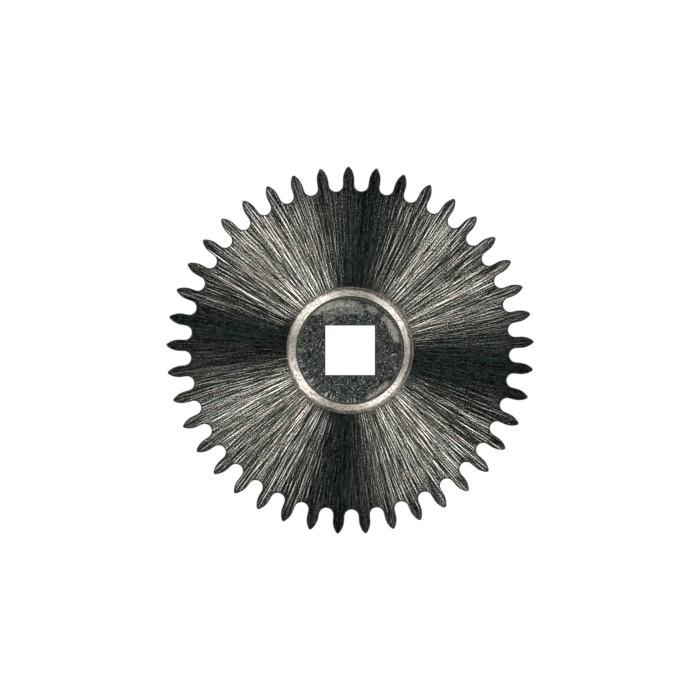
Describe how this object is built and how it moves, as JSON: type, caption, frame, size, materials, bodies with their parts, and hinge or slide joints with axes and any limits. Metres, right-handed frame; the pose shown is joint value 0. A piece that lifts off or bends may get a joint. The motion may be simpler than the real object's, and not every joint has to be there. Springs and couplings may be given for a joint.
{
  "type": "ratchet wheel",
  "caption": "Flat steel watch ratchet wheel with pointed symmetric teeth, a square arbor hole and a bevelled sink for its screw.",
  "frame": {"origin": "centre of the wheel on its flat underside", "axes": "+Z out of the brushed face with the sink; X and Y square to the flats of the arbor hole"},
  "size_m": [0.008, 0.008, 0.0005],
  "materials": {
    "wheel_steel": "radially brushed face, frosted sink bevel, worn matt sink floor"
  },
  "bodies": {
    "root": {"ratchet_wheel": "wheel_steel"}
  },
  "joints": []
}
